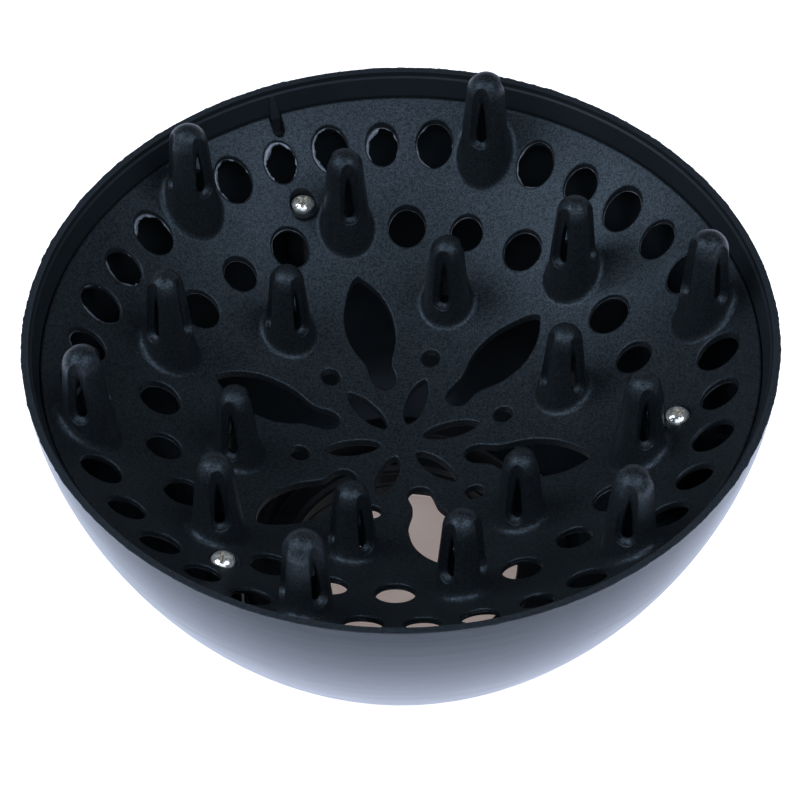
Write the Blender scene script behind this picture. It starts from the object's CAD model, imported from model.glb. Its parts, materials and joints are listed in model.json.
import json
import math

import bmesh
import bpy
from mathutils import Matrix, Vector, noise
from mathutils.bvhtree import BVHTree


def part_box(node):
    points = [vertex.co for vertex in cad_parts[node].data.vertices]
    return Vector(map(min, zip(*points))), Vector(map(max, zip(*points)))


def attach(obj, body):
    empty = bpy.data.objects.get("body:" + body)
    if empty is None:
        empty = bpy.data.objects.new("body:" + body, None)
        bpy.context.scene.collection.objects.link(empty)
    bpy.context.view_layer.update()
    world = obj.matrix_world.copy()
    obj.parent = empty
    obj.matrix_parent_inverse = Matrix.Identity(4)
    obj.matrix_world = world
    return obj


MM = 1e-3

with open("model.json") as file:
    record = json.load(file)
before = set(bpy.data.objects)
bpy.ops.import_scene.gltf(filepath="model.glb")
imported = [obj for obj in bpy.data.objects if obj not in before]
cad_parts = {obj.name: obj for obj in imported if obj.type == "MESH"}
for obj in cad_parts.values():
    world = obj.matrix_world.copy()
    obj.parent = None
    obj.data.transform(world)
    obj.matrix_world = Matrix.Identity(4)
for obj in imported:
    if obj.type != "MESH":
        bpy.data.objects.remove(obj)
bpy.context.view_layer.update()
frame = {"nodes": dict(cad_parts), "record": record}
nodes = frame["nodes"]


# ---------------------------------------------------------------------------
# shared helpers
# ---------------------------------------------------------------------------
def bowl_top():
    """Upper corner of the bowl's box: z is the rim's height, x its outer radius."""
    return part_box("bowl")[1]


def around(count):
    """Angle, cosine and sine of each of count equal steps round a full turn."""
    for i in range(count):
        angle = 2 * math.pi * i / count
        yield angle, math.cos(angle), math.sin(angle)


def wobble(x, y, z):
    return noise.noise(Vector((x, y, z)))


def add_object(name, data):
    ob = bpy.data.objects.new(name, data)
    bpy.context.scene.collection.objects.link(ob)
    return ob


class Graph:
    """A node tree under construction. Inputs are values or sockets; colours are RGB."""

    def __init__(self, tree):
        self.tree = tree
        tree.nodes.clear()

    def put(self, socket, value):
        if isinstance(value, bpy.types.NodeSocket):
            self.tree.links.new(value, socket)
        elif socket.type == "RGBA":
            socket.default_value = (*value, 1.0)
        else:
            socket.default_value = value

    def add(self, kind, inputs=None, **props):
        node = self.tree.nodes.new(kind)
        for key, value in props.items():
            setattr(node, key, value)
        for key, value in (inputs or {}).items():
            self.put(node.inputs[key], value)
        return node

    def ramp(self, value, span, to=(0.0, 1.0)):
        """Value carried from span to the range to, held at both ends."""
        inputs = {
            "Value": value,
            "From Min": span[0],
            "From Max": span[1],
            "To Min": to[0],
            "To Max": to[1],
        }
        return self.add("ShaderNodeMapRange", inputs).outputs["Result"]

    def axes(self, vector):
        return self.add("ShaderNodeSeparateXYZ", {"Vector": vector}).outputs

    def camera_ray(self):
        """1 for rays straight from the camera, 0 for all others."""
        return self.add("ShaderNodeLightPath").outputs["Is Camera Ray"]


class Mat(Graph):
    """A material round one principled shader, patterned in object coordinates."""

    def __init__(self, name):
        self.mat = bpy.data.materials.new(name)
        self.mat.use_nodes = True
        super().__init__(self.mat.node_tree)
        out = self.add("ShaderNodeOutputMaterial")
        self.bsdf = self.add("ShaderNodeBsdfPrincipled")
        self.put(out.inputs["Surface"], self.bsdf.outputs["BSDF"])
        self.place = self.add("ShaderNodeTexCoord").outputs["Object"]

    def stretched(self, scale):
        mapping = self.add("ShaderNodeMapping", {"Scale": scale, "Vector": self.place})
        return mapping.outputs["Vector"]

    def noise(self, scale, detail, rough, vector=None):
        inputs = {
            "Scale": scale,
            "Detail": detail,
            "Roughness": rough,
            "Vector": vector or self.place,
        }
        return self.add("ShaderNodeTexNoise", inputs).outputs["Fac"]

    def math(self, operation, *values, clamp=False):
        inputs = dict(enumerate(values))
        node = self.add("ShaderNodeMath", inputs, operation=operation, use_clamp=clamp)
        return node.outputs["Value"]

    def plus(self, a, b):
        return self.math("ADD", a, b)

    def times(self, a, b):
        return self.math("MULTIPLY", a, b)

    def mix(self, fac, a, b):
        inputs = {"Factor": fac, "A": a, "B": b}
        return self.add("ShaderNodeMix", inputs, data_type="RGBA").outputs["Result"]

    def shade(self, value, span, dark, light):
        """Colour from dark to light as value crosses span."""
        return self.mix(self.ramp(value, span), dark, light)

    def bump(self, height, distance, strength, normal=None):
        inputs = {"Strength": strength, "Distance": distance, "Height": height}
        if normal is not None:
            inputs["Normal"] = normal
        return self.add("ShaderNodeBump", inputs).outputs["Normal"]

    def bevel(self, radius, samples=4):
        node = self.add("ShaderNodeBevel", {"Radius": radius}, samples=samples)
        return node.outputs["Normal"]

    def normal_z(self):
        """Size of the upward part of the face's direction, 0 to 1."""
        normal = self.add("ShaderNodeNewGeometry").outputs["Normal"]
        return self.math("ABSOLUTE", self.axes(normal)["Z"])

    def radius_squared(self, axes):
        """Squared distance from the Z axis."""
        return self.plus(self.times(axes["X"], axes["X"]), self.times(axes["Y"], axes["Y"]))

    def dust(self, base, scale, size, amount, tint):
        """Sparse, tiny light specks over a base colour; amount is the share of cells."""
        cells = self.add("ShaderNodeTexVoronoi", {"Scale": scale, "Vector": self.place})
        near = self.ramp(cells.outputs["Distance"], span=(size * 0.4, size), to=(1, 0))
        split = self.add("ShaderNodeSeparateColor", {"Color": cells.outputs["Color"]})
        pick = self.math("GREATER_THAN", split.outputs["Red"], 1.0 - amount)
        return self.mix(self.times(near, pick), base, tint)

    def finish(self, **values):
        """Set the shader's inputs, named with _ for a space, and return the material."""
        for key, value in values.items():
            self.put(self.bsdf.inputs[key.replace("_", " ")], value)
        return self.mat


# ---------------------------------------------------------------------------
# materials
# ---------------------------------------------------------------------------
def plate_satin(name):
    """Black ABS with a fine spark-eroded texture, satin."""
    m = Mat(name)
    fine = m.noise(scale=2700, detail=2, rough=0.6)
    mid = m.noise(scale=1200, detail=1, rough=0.5)
    cloud = m.noise(scale=38, detail=3, rough=0.55)
    grain = m.plus(m.times(fine, 0.75), m.times(mid, 0.25))
    level = m.shade(
        grain,
        span=(0.38, 0.64),
        dark=(0.0104, 0.0120, 0.0127),
        light=(0.0180, 0.0210, 0.0226),
    )
    clouded = m.ramp(cloud, span=(0.35, 0.7), to=(0, 0.35))
    level = m.mix(clouded, level, (0.0124, 0.0145, 0.0155))
    walls = m.shade(
        grain,
        span=(0.38, 0.64),
        dark=(0.0150, 0.0177, 0.0192),
        light=(0.0230, 0.0267, 0.0294),
    )
    upright = m.ramp(m.normal_z(), span=(0.25, 0.60), to=(1, 0))
    base = m.mix(upright, level, walls)
    rough = m.plus(
        m.ramp(grain, span=(0.35, 0.65), to=(0.33, 0.46)),
        m.ramp(cloud, span=(0.3, 0.7), to=(-0.03, 0.04)),
    )
    rounded = m.bevel(radius=0.00055, samples=6)
    return m.finish(
        Base_Color=m.dust(base, scale=170, size=0.03, amount=0.16, tint=(0.16, 0.165, 0.18)),
        Roughness=rough,
        IOR=1.5,
        Specular_IOR_Level=m.ramp(grain, span=(0.40, 0.60), to=(0.20, 0.70)),
        Specular_Tint=(0.72, 0.88, 1.0),
        Normal=m.bump(grain, distance=0.00014, strength=0.6, normal=rounded),
    )


def bowl_gloss(name):
    """Polished black ABS, faint flow lines round the bowl, rim's top face scuffed satin."""
    inner_radius = 0.0813  # the bowl's inside is within this radius ...
    inner_bottom = 0.080  # ... and above this height
    top_band = (-0.00030, -0.00005)  # the top face fades in over these heights from the rim
    lip_depth = 0.0018  # level faces down to here below the rim are satin

    m = Mat(name)
    streak = m.noise(scale=1, detail=3, rough=0.6, vector=m.stretched((26, 26, 900)))
    broad = m.noise(scale=1, detail=2, rough=0.5, vector=m.stretched((9, 9, 120)))
    cloud = m.noise(scale=30, detail=3, rough=0.55)
    fine = m.noise(scale=2600, detail=2, rough=0.6)
    scuff = m.noise(scale=1500, detail=3, rough=0.65)

    # masks
    rim_z = bowl_top().z
    axes = m.axes(m.place)
    flat = m.ramp(m.normal_z(), span=(0.45, 0.75))
    near_top = m.ramp(axes["Z"], span=(rim_z + top_band[0], rim_z + top_band[1]))
    top = m.times(near_top, flat)
    lip = m.times(m.math("GREATER_THAN", axes["Z"], rim_z - lip_depth), flat)
    inside = m.times(
        m.math("LESS_THAN", m.radius_squared(axes), inner_radius**2),
        m.math("GREATER_THAN", axes["Z"], inner_bottom),
    )

    base = m.mix(cloud, (0.0116, 0.0146, 0.0165), (0.0184, 0.0226, 0.0252))
    base = m.dust(base, scale=120, size=0.02, amount=0.08, tint=(0.2, 0.2, 0.22))
    inner = m.mix(cloud, (0.0142, 0.0177, 0.0202), (0.0216, 0.0264, 0.0296))
    base = m.mix(inside, base, inner)
    scuffed = m.shade(
        scuff,
        span=(0.35, 0.68),
        dark=(0.0130, 0.0158, 0.0185),
        light=(0.0290, 0.0330, 0.0370),
    )
    base = m.mix(top, base, scuffed)

    gloss = m.plus(
        m.ramp(streak, span=(0.3, 0.7), to=(0.17, 0.235)),
        m.ramp(cloud, span=(0.3, 0.7), to=(-0.015, 0.03)),
    )
    satin = m.ramp(scuff, span=(0.3, 0.7), to=(0.38, 0.54))
    rough = m.plus(m.times(gloss, m.math("SUBTRACT", 1.0, lip)), m.times(satin, lip))
    # the lip below the top face loses part of its shine
    shine = m.ramp(streak, span=(0.3, 0.7), to=(0.42, 0.58))
    loss = m.times(m.math("SUBTRACT", lip, top), 0.34)
    bump = m.bump(broad, distance=0.00030, strength=0.10)
    bump = m.bump(streak, distance=0.00004, strength=0.22, normal=bump)
    return m.finish(
        Base_Color=base,
        Roughness=rough,
        IOR=1.5,
        Specular_IOR_Level=m.math("SUBTRACT", shine, loss, clamp=True),
        Specular_Tint=(0.86, 0.92, 1.0),
        Normal=m.bump(fine, distance=0.00001, strength=0.25, normal=bump),
    )


def satin_plastic(name, dark, light, rough, grain_scale=2600, bump=0.00003):
    """Plain moulded black plastic of the neck parts."""
    m = Mat(name)
    fine = m.noise(scale=grain_scale, detail=2, rough=0.6)
    cloud = m.noise(scale=60, detail=3, rough=0.55)
    base = m.shade(fine, span=(0.35, 0.65), dark=dark, light=light)
    return m.finish(
        Base_Color=m.dust(base, scale=260, size=0.03, amount=0.08, tint=(0.12, 0.12, 0.13)),
        Roughness=m.plus(
            m.ramp(fine, span=(0.35, 0.65), to=rough),
            m.ramp(cloud, span=(0.3, 0.7), to=(-0.04, 0.04)),
        ),
        IOR=1.5,
        Normal=m.bump(fine, distance=bump, strength=0.5, normal=m.bevel(0.00015)),
    )


def rubber(name, dark, light):
    """Matt rubber with a faint sheen."""
    m = Mat(name)
    fine = m.noise(scale=1900, detail=3, rough=0.65)
    cloud = m.noise(scale=110, detail=2, rough=0.5)
    base = m.shade(cloud, span=(0.3, 0.7), dark=dark, light=light)
    return m.finish(
        Base_Color=m.dust(base, scale=340, size=0.05, amount=0.14, tint=(0.14, 0.14, 0.145)),
        Roughness=m.ramp(fine, span=(0.3, 0.7), to=(0.66, 0.86)),
        IOR=1.45,
        Sheen_Weight=0.12,
        Sheen_Roughness=0.5,
        Normal=m.bump(fine, distance=0.00006, strength=0.5, normal=m.bevel(0.00012)),
    )


def zinc(name):
    """Bright zinc-plated steel, finely grained, with a slightly uneven plating."""
    m = Mat(name)
    fine = m.noise(scale=5200, detail=3, rough=0.6)
    cloud = m.noise(scale=700, detail=3, rough=0.6)
    grain = m.bump(fine, distance=0.00002, strength=0.25, normal=m.bevel(0.00009))
    return m.finish(
        Base_Color=m.shade(
            cloud, span=(0.3, 0.7), dark=(0.80, 0.76, 0.68), light=(0.98, 0.93, 0.84)
        ),
        Metallic=m.ramp(cloud, span=(0.3, 0.7), to=(0.84, 0.60)),
        Roughness=m.ramp(cloud, span=(0.3, 0.7), to=(0.08, 0.22)),
        Normal=m.bump(cloud, distance=0.00010, strength=0.5, normal=grain),
    )


def steel(name, dark, light, stretch, rough):
    """Drawn steel; the stretch is the grain's frequency along X, Y and Z."""
    m = Mat(name)
    drawn = m.noise(scale=1, detail=3, rough=0.6, vector=m.stretched(stretch))
    cloud = m.noise(scale=320, detail=3, rough=0.6)
    return m.finish(
        Base_Color=m.shade(cloud, span=(0.3, 0.7), dark=dark, light=light),
        Metallic=1.0,
        Roughness=m.ramp(drawn, span=(0.3, 0.7), to=rough),
        Normal=m.bump(drawn, distance=0.00002, strength=0.35, normal=m.bevel(0.00010)),
    )


def flash_film(name):
    """Thin film of the same plastic, whitened by stress, smoother than the plate."""
    m = Mat(name)
    cloud = m.noise(scale=900, detail=3, rough=0.65)
    fine = m.noise(scale=3200, detail=2, rough=0.6)
    film = m.add("ShaderNodeAttribute", attribute_name="film").outputs["Fac"]
    pale = m.times(film, m.ramp(cloud, span=(0.34, 0.60), to=(0.45, 1.0)))
    return m.finish(
        Base_Color=m.mix(pale, (0.012, 0.0145, 0.0175), (0.300, 0.325, 0.360)),
        Roughness=m.ramp(fine, span=(0.3, 0.7), to=(0.16, 0.30)),
        IOR=1.5,
        Specular_IOR_Level=0.7,
        Normal=m.bump(cloud, distance=0.00015, strength=0.6),
    )


# slot name: builder and its values
RECIPES = {
    "bowl_gloss": (bowl_gloss, {}),
    "plate_satin": (plate_satin, {}),
    "collar_black": (satin_plastic, dict(
        dark=(0.0085, 0.009, 0.0105), light=(0.0150, 0.0158, 0.0180), rough=(0.34, 0.48))),
    "ring_satin": (satin_plastic, dict(
        dark=(0.0080, 0.0085, 0.0105), light=(0.0165, 0.0175, 0.0205), rough=(0.40, 0.56),
        grain_scale=3200, bump=0.00005)),
    "leaf_black": (satin_plastic, dict(
        dark=(0.0100, 0.0105, 0.0120), light=(0.0180, 0.0190, 0.0215), rough=(0.36, 0.50))),
    "pad_rubber": (rubber, dict(dark=(0.012, 0.012, 0.013), light=(0.022, 0.022, 0.023))),
    "silicone": (rubber, dict(dark=(0.030, 0.030, 0.031), light=(0.046, 0.046, 0.048))),
    "screw_zinc": (zinc, {}),
    "pin_steel": (steel, dict(
        dark=(0.50, 0.50, 0.51), light=(0.68, 0.68, 0.69),
        stretch=(5200, 5200, 300), rough=(0.20, 0.34))),
    "spring_steel": (steel, dict(
        dark=(0.20, 0.20, 0.22), light=(0.36, 0.36, 0.38),
        stretch=(700, 700, 6000), rough=(0.26, 0.42))),
}
MATS = {name: build(name, **values) for name, (build, values) in RECIPES.items()}


def dress_nodes():
    """Give every CAD piece the material of its slot."""
    slots = {part["node"]: part["material_slot"] for part in frame["record"]["subparts"]}
    for name, ob in nodes.items():
        mat = MATS[slots[name]]
        if not ob.material_slots:
            ob.data.materials.append(mat)
        for slot in ob.material_slots:
            slot.material = mat


# ---------------------------------------------------------------------------
# moulding flash: the thin uneven film of plastic left at the lower edge of the
# round air holes and along the outer edge of the rim
# ---------------------------------------------------------------------------
def ring_mesh(name, stations):
    """Closed ring of quads through stations of (film value, closed cross-section)."""
    bm = bmesh.new()
    layer = bm.verts.layers.float.new("film")
    rows = []
    for film, section in stations:
        row = [bm.verts.new(point) for point in section]
        for vert in row:
            vert[layer] = film
        rows.append(row)
    for i, row in enumerate(rows):
        after = rows[(i + 1) % len(rows)]
        for j in range(len(row)):
            k = (j + 1) % len(row)
            bm.faces.new((row[j], after[j], after[k], row[k]))
    bmesh.ops.recalc_face_normals(bm, faces=bm.faces)
    mesh = bpy.data.meshes.new(name)
    bm.to_mesh(mesh)
    bm.free()
    for face in mesh.polygons:
        face.use_smooth = True
    return mesh


def add_flash(name, mesh, mat):
    mesh.materials.append(mat)
    ob = add_object(name, mesh)
    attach(ob, "shell")


def rim_flash():
    """Uneven burr standing out and up from the rim's outer edge."""
    stations_round = 1800
    waves = ((9.0, 2.3), (34.0, 5.1), (110.0, 8.7))  # frequency, seed: slow, mid, fast
    top = bowl_top()
    stations = []
    for _, c, s in around(stations_round):
        slow, mid, fast = (wobble(c * freq, s * freq, seed) for freq, seed in waves)
        swell = max(0.0, 0.10 + 0.16 * slow + 0.22 * mid + 0.16 * fast)
        out = (0.015 + 0.75 * swell) * MM
        up = (0.01 + 0.45 * max(0.0, swell + 0.10 * fast)) * MM
        # radius and height from the rim's outer top edge
        profile = (
            (-0.00034, -0.00006),
            (-0.00016, up),
            (-0.00004 + out, 0.6 * up - 0.00003),
            (-0.00012, -0.00042),
        )
        section = [((top.x + r) * c, (top.x + r) * s, top.z + z) for r, z in profile]
        stations.append((0.0, section))
    add_flash("rim_flash", ring_mesh("rim_flash", stations), MATS["bowl_gloss"])


# The air holes repeat in six sectors.
SECTORS = 6
FIRST_ANGLE = 73.1  # degrees from +X
OUTER_PITCH = 60  # mm; circles wider than this are the plate's outer ones
# pitch radius mm, angle in the sector in degrees, hole radius mm
SECTOR_HOLES = (
    (54.09, 0, 3.85), (54.09, 15, 4.4), (54.09, -15, 4.4),
    (70.53, 10, 4.35), (70.53, 30, 4.35), (70.53, 50, 4.35),
    (70.37, 20, 3.9), (70.37, 40, 3.9),
)
LONG_FILM_ANGLE = 118.0  # degrees; the outer films are longest here, at the back left
MAX_FILM = 0.0015


def lower_face(tree, x, y, reach, along):
    """Height of the plate's lower face round a point and its slope along a direction.

    None where too few of the samples at distance reach meet the plate.
    """
    ray_z, lowest_z = 0.035, 0.040
    samples = []
    for _, c, s in around(8):
        start = Vector((x + reach * c, y + reach * s, ray_z))
        hit = tree.ray_cast(start, Vector((0, 0, 1)))[0]
        if hit is not None and hit.z > lowest_z:
            samples.append((c * along[0] + s * along[1], hit.z))
    if len(samples) < 5:
        return None
    middle = sorted(z for _, z in samples)[len(samples) // 2]
    rise = sum(share * (z - middle) for share, z in samples)
    run = sum(share**2 for share, _ in samples) * reach
    return middle, rise / run


def film_stations(index, pitch, degrees, radius, tree):
    """Stations of the film ring in one hole, or None off the plate's face."""
    angle = math.radians(degrees)
    ca, sa = math.cos(angle), math.sin(angle)
    x0, y0 = pitch * ca * MM, pitch * sa * MM
    radius *= MM
    face = lower_face(tree, x0, y0, radius + 0.0006, (ca, sa))
    if face is None:
        return None
    face_z, slope = face

    # the film is widest towards lean
    lean = 2 * math.pi * (0.5 + 0.5 * wobble(index * 1.7, 3.3, 0.4))
    back_left = 0.0
    if pitch > OUTER_PITCH:
        back_left = max(0.0, math.cos(math.radians(degrees - LONG_FILM_ANGLE))) ** 2
    patchy = max(0.0, wobble(index * 2.9, 7.7, 1.9) + 0.3)
    amount = 0.16 + 0.26 * patchy + 0.95 * back_left

    stations = []
    for turn, c, s in around(96):
        side = 0.5 + 0.5 * math.cos(turn - lean)
        mid = wobble(c * 2.2 + index * 3.1, s * 2.2, 0.7)
        fast = wobble(c * 7.5, s * 7.5 + index * 5.3, 4.1)
        swell = max(0.0, 0.75 * side**3 + 0.50 * mid + 0.22 * fast)
        width = min((0.07 + amount * swell) * MM, MAX_FILM)
        # wide film turns pale, most of all at the back left
        film = min(1.0, max(0.0, (width - 0.00012) / 0.00045)) * (0.35 + 0.65 * back_left)
        # radius, height above the lower face
        profile = (
            (radius + 0.00006, 0.00034),
            (radius - 0.4 * width, 0.00033 + 0.05 * width),
            (radius - width, 0.00030 + 0.10 * width),
            (radius - width * 0.98, 0.00026 + 0.10 * width),
            (radius - 0.4 * width, 0.00024),
            (radius + 0.00006, 0.00022),
        )
        section = []
        for r, lift in profile:
            rise = slope * r * (c * ca + s * sa)
            section.append((x0 + r * c, y0 + r * s, face_z + rise + lift))
        stations.append((film, section))
    return stations


def hole_flash():
    """One film ring in every round hole, just above the edge of the plate's lower face."""
    plate = nodes["finger_plate"].data
    tree = BVHTree.FromPolygons(
        [vert.co[:] for vert in plate.vertices], [face.vertices[:] for face in plate.polygons]
    )
    mat = flash_film("flash_film")
    joined = bmesh.new()
    index = 0
    for sector in range(SECTORS):
        start = FIRST_ANGLE + 360 // SECTORS * sector
        for pitch, offset, radius in SECTOR_HOLES:
            stations = film_stations(index, pitch, start + offset, radius, tree)
            index += 1
            if stations is None:
                continue
            ring = ring_mesh("film", stations)
            joined.from_mesh(ring)
            bpy.data.meshes.remove(ring)
    mesh = bpy.data.meshes.new("hole_flash")
    joined.to_mesh(mesh)
    joined.free()
    add_flash("hole_flash", mesh, mat)


# ---------------------------------------------------------------------------
# stage: pale acrylic table lit from below, soft boxes left, right and in front
# ---------------------------------------------------------------------------
FLOOR_Z = -0.0002
FLOOR_RADII = (0.0295, 0.0325, 0.05, 0.12, 0.3, 0.8, 2.0, 6.0)
FLOOR_SEGMENTS = 96
LIGHT_TARGET = (0, 0, 0.06)
LIGHT_COLOUR = (0.86, 1.0, 1.22)  # cool
# name, place, width, height, power
LIGHTS = (
    ("soft_left", (-0.82, -0.13, 1.10), 0.85, 0.85, 7.0),
    ("soft_right", (0.58, -0.33, 1.17), 0.72, 0.72, 4.0),
    ("soft_front", (0.0, -0.75, 1.05), 1.0, 0.62, 2.7),
)


def floor_acrylic(name):
    """Glowing pale acrylic with a dark disc in the middle.

    The glow has one colour as seen by the camera and another as it lights the product.
    """
    m = Mat(name)
    axes = m.axes(m.place)
    r = m.math("SQRT", m.radius_squared(axes))
    outside = m.ramp(r, span=(0.0298, 0.0322))
    cloud = m.noise(scale=6, detail=2, rough=0.5)
    seen = m.mix(outside, (0.225, 0.172, 0.147), (1.05, 1.05, 1.05))
    # light given: weaker away from the disc, stronger again to the left and right
    glow = m.mix(m.ramp(r, span=(0.035, 0.095)), (0.82, 0.88, 1.13), (0.63, 0.69, 0.885))
    sideways = m.math("DIVIDE", m.math("ABSOLUTE", axes["X"]), m.math("MAXIMUM", r, 0.01))
    side = m.times(m.ramp(sideways, span=(0.45, 0.95)), m.ramp(r, span=(0.05, 0.12)))
    glow = m.mix(side, glow, (0.80, 0.87, 1.10))
    given = m.mix(outside, (0.080, 0.070, 0.066), glow)
    return m.finish(
        Base_Color=m.mix(cloud, (0.80, 0.80, 0.80), (0.84, 0.84, 0.84)),
        Roughness=0.6,
        Emission_Color=m.mix(m.camera_ray(), given, seen),
        Emission_Strength=1.0,
    )


def build_floor():
    bm = bmesh.new()
    centre = bm.verts.new((0, 0, FLOOR_Z))
    inner = None
    for r in FLOOR_RADII:
        row = [bm.verts.new((r * c, r * s, FLOOR_Z)) for _, c, s in around(FLOOR_SEGMENTS)]
        for i in range(FLOOR_SEGMENTS):
            j = (i + 1) % FLOOR_SEGMENTS
            if inner is None:
                bm.faces.new((centre, row[i], row[j]))
            else:
                bm.faces.new((inner[i], row[i], row[j], inner[j]))
        inner = row
    mesh = bpy.data.meshes.new("floor")
    bm.to_mesh(mesh)
    bm.free()
    ob = add_object("floor", mesh)
    mesh.materials.append(floor_acrylic("floor_acrylic"))


def build_world():
    """White to the camera; for all other rays bright at the horizon and dark above."""
    world = bpy.data.worlds.new("studio")
    bpy.context.scene.world = world
    world.use_nodes = True
    g = Graph(world.node_tree)
    seen = g.add("ShaderNodeBackground", {"Color": (1, 1, 1), "Strength": 1.1})
    direction = g.add("ShaderNodeTexCoord").outputs["Generated"]
    height = g.ramp(g.axes(direction)["Z"], span=(-0.1, 1.0))
    sky = g.add("ShaderNodeValToRGB", {"Fac": height})
    horizon, above = sky.color_ramp.elements
    horizon.position = 0.0
    horizon.color = (0.63, 0.71, 0.87, 1)
    above.position = 0.40
    above.color = (0.036, 0.042, 0.051, 1)
    given = g.add("ShaderNodeBackground", {"Color": sky.outputs["Color"], "Strength": 1.0})
    inputs = {
        "Fac": g.camera_ray(),
        1: given.outputs["Background"],
        2: seen.outputs["Background"],
    }
    mix = g.add("ShaderNodeMixShader", inputs)
    g.add("ShaderNodeOutputWorld", {"Surface": mix.outputs["Shader"]})


def build_light(name, place, width, height, power):
    """Rectangular soft box aimed at the light target."""
    light = bpy.data.lights.new(name, "AREA")
    light.shape = "RECTANGLE"
    light.size, light.size_y = width, height
    light.energy = power
    light.color = LIGHT_COLOUR
    ob = add_object(name, light)
    ob.location = place
    ob.rotation_mode = "QUATERNION"
    aim = Vector(LIGHT_TARGET) - Vector(place)
    ob.rotation_quaternion = aim.to_track_quat("-Z", "Y")


def build_camera():
    """Long lens in front of the bowl and above it, rolled slightly."""
    distance = 0.70716  # from the centre of the rim
    elevation, roll = math.radians(47.963), math.radians(-0.671)
    rim_z = bowl_top().z
    eye = Vector((0.0, -distance * math.cos(elevation), distance * math.sin(elevation) + rim_z))
    target = Vector((0.000143, -0.020506, rim_z))

    cam = bpy.data.cameras.new("camera")
    cam.sensor_width = 36.0
    cam.lens = 146.0592
    cam.shift_x = -0.002575
    cam.shift_y = 0.000375
    cam.clip_start, cam.clip_end = 0.01, 30.0

    forward = (target - eye).normalized()
    right = forward.cross(Vector((0, 0, 1))).normalized()
    up = right.cross(forward)
    c, s = math.cos(roll), math.sin(roll)
    axes = (c * right + s * up, -s * right + c * up, -forward)
    ob = bpy.data.objects.new("camera", cam)
    ob.matrix_world = Matrix.Translation(eye) @ Matrix(axes).transposed().to_4x4()
    bpy.context.scene.collection.objects.link(ob)
    bpy.context.scene.camera = ob


dress_nodes()
rim_flash()
hole_flash()
build_floor()
build_world()
for entry in LIGHTS:
    build_light(*entry)
bpy.context.scene.view_settings.view_transform = "Standard"
bpy.context.scene.view_settings.look = "None"
build_camera()
